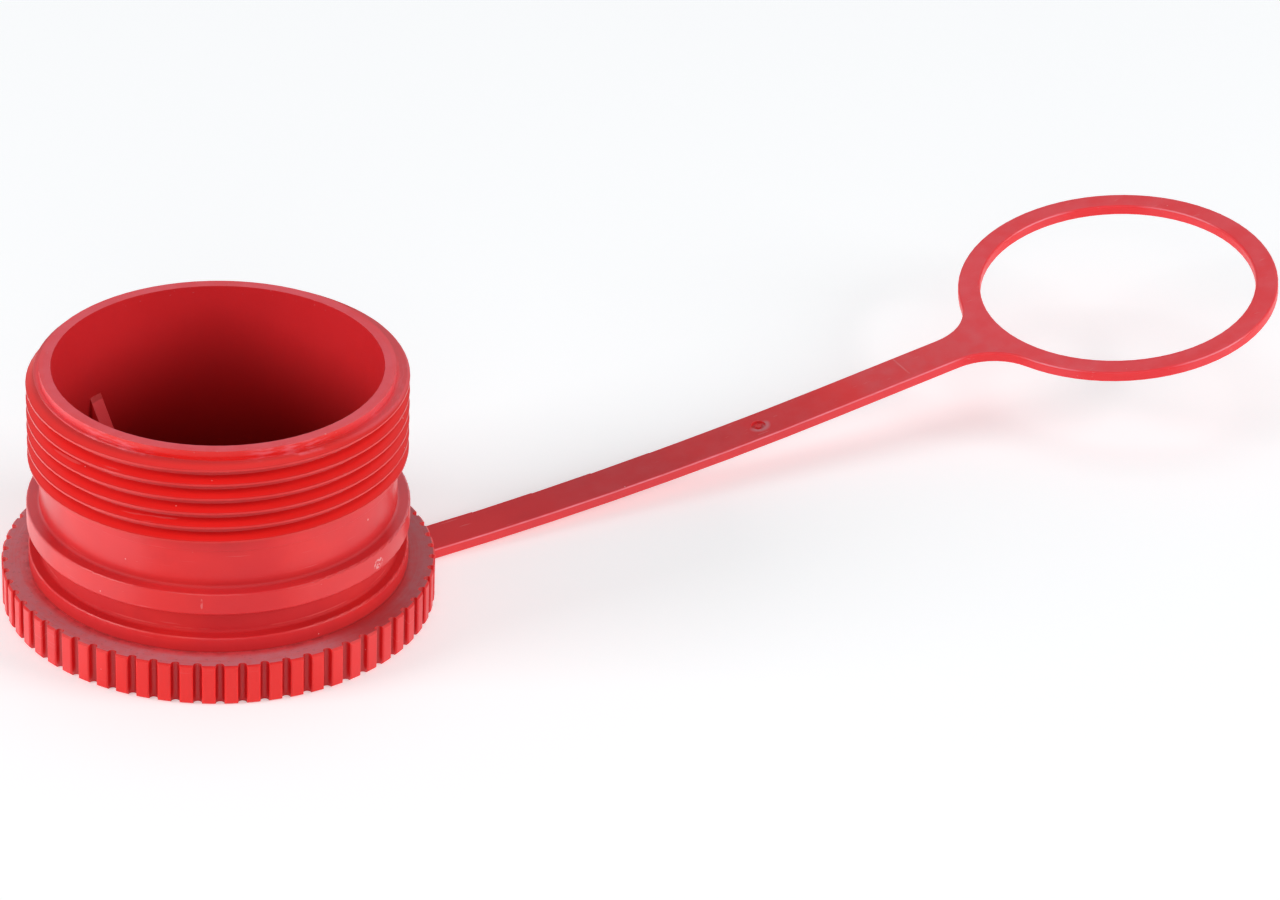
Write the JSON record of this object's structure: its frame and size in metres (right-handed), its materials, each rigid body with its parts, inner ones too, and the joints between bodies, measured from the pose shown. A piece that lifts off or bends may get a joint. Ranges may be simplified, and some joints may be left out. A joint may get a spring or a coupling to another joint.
{
  "type": "threaded protection cap",
  "caption": "Moulded plastic plug cap with a fine outside thread, seal groove, ribbed grip flange and open cup, on a flat strap with a retaining ring.",
  "frame": {"origin": "centre of the plug's closed base, on its axis and in the plane it stands on", "axes": "+Z along the plug's axis from the closed base to the open mouth, +X along the strap from the plug to the retaining ring"},
  "size_m": [0.1862, 0.0552, 0.0329],
  "materials": {
    "body": "semi-matt moulded polyethylene, red"
  },
  "bodies": {
    "root": {"protection_cap": "body"}
  },
  "joints": []
}
